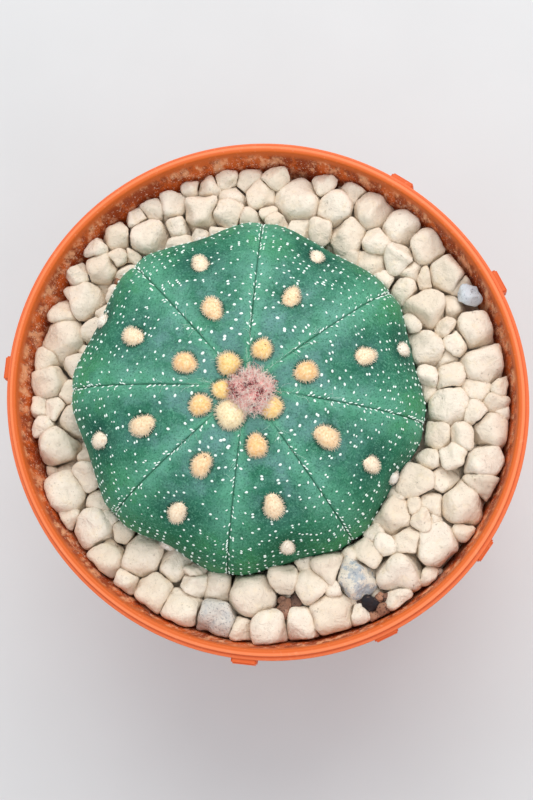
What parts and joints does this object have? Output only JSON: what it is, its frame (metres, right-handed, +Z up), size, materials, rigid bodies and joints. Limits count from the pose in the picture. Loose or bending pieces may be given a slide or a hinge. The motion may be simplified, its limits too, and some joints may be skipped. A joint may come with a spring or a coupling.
{
  "type": "potted star cactus",
  "caption": "Low ribbed star cactus with woolly areoles and a dried bud on its crown, in a round plastic pot top-dressed with loose pumice stones.",
  "frame": {"origin": "on the pot's axis, at the level that its feet stand on", "axes": "+Z up along the pot's axis; the picture looks down on the crown from the -Y side, with +X to its right"},
  "size_m": [0.1001, 0.1004, 0.1006],
  "materials": {
    "pot_plastic": "satin terracotta-orange plastic with fine scuffs and a chalky water line inside",
    "potting_mix": "dark, crumbly mix of composted bark and grit",
    "pumice": "matte cream pumice, finely pitted, with rounded broken faces",
    "blue_grey_rock": "matte blue-grey stone with dark and rusty speckles",
    "pale_grey_rock": "matte pale grey stone",
    "whitish_rock": "matte whitish-blue stone",
    "cactus_skin": "living green skin with a soft bloom, white flecks in rows and cream wool on the areoles",
    "bud_wool": "dry pink and cream wool with crimson and brown tips"
  },
  "bodies": {
    "root": {"pot": "pot_plastic", "potting_mix": "potting_mix", "pumice_layer": "pumice", "blue_grey_stone": "blue_grey_rock", "pale_grey_stone": "pale_grey_rock", "small_grey_stone": "whitish_rock", "cactus_body": "cactus_skin", "flower_bud": "bud_wool"}
  },
  "joints": []
}
